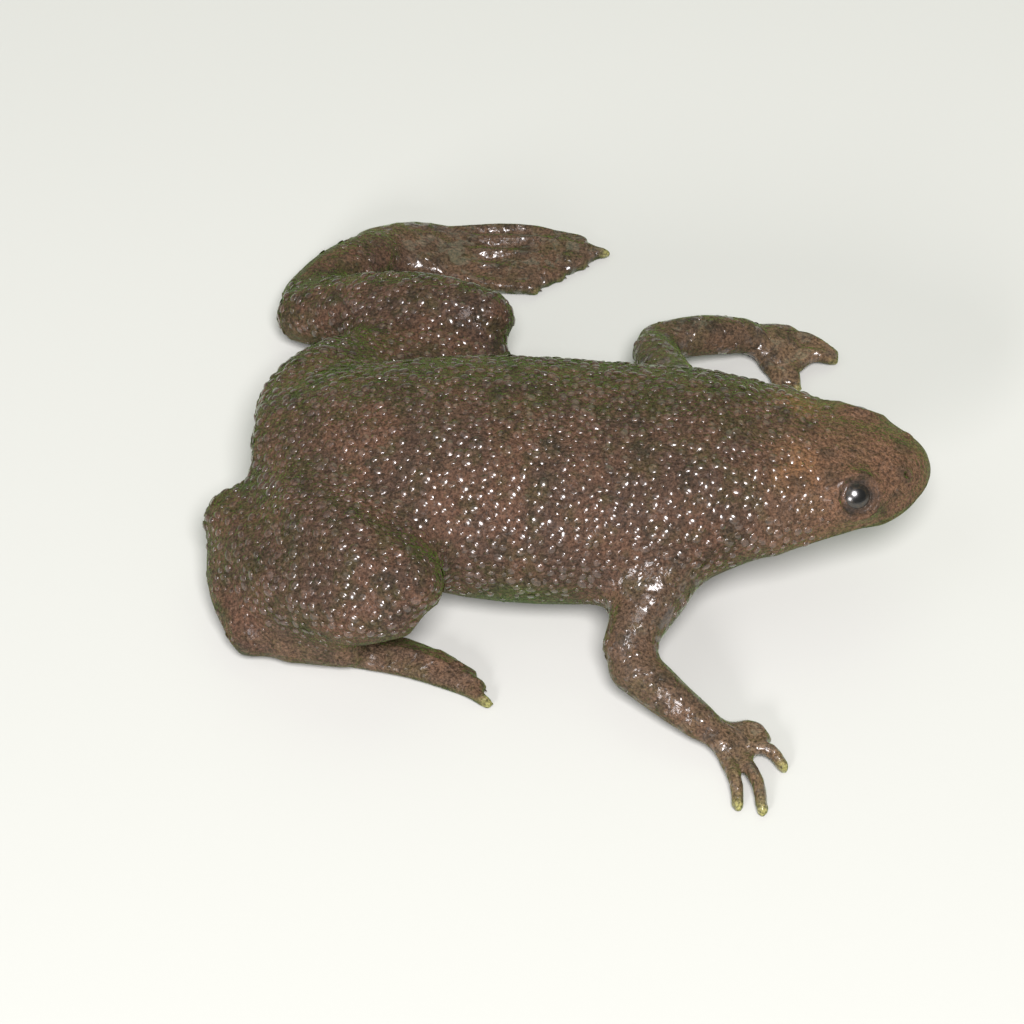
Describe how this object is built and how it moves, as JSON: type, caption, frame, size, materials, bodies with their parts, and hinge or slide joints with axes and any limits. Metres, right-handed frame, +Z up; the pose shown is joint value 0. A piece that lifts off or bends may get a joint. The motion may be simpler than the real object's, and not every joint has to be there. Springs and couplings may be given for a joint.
{
  "type": "western dwarf clawed frog",
  "caption": "Life-size still model of a western dwarf clawed frog crouched on the floor, head raised, hind legs folded and one arm reaching forward.",
  "frame": {"origin": "on the floor under the middle of the body, at the belly's flat", "axes": "+X towards the snout, +Y to the frog's left, +Z up from the floor"},
  "size_m": [0.0348, 0.0377, 0.0096],
  "materials": {
    "skin": "wet skin with fine warts, brown with dark olive spots and greenish lower sides",
    "eye": "glossy, with a dark brown iris round a black pupil",
    "claw": "smooth dark horn"
  },
  "bodies": {
    "root": {"torso": "skin", "head": "skin", "eye_left": "eye", "eye_right": "eye", "upper_arm_left": "skin", "upper_arm_right": "skin", "forearm_left": "skin", "forearm_right": "skin", "hand_left": "skin", "hand_right": "skin", "thigh_left": "skin", "thigh_right": "skin", "shank_left": "skin", "shank_right": "skin", "ankle_left": "skin", "ankle_right": "skin", "foot_left": "skin", "foot_right": "skin", "claw_left_1": "claw", "claw_left_2": "claw", "claw_left_3": "claw", "claw_right_1": "claw", "claw_right_2": "claw", "claw_right_3": "claw"}
  },
  "joints": []
}
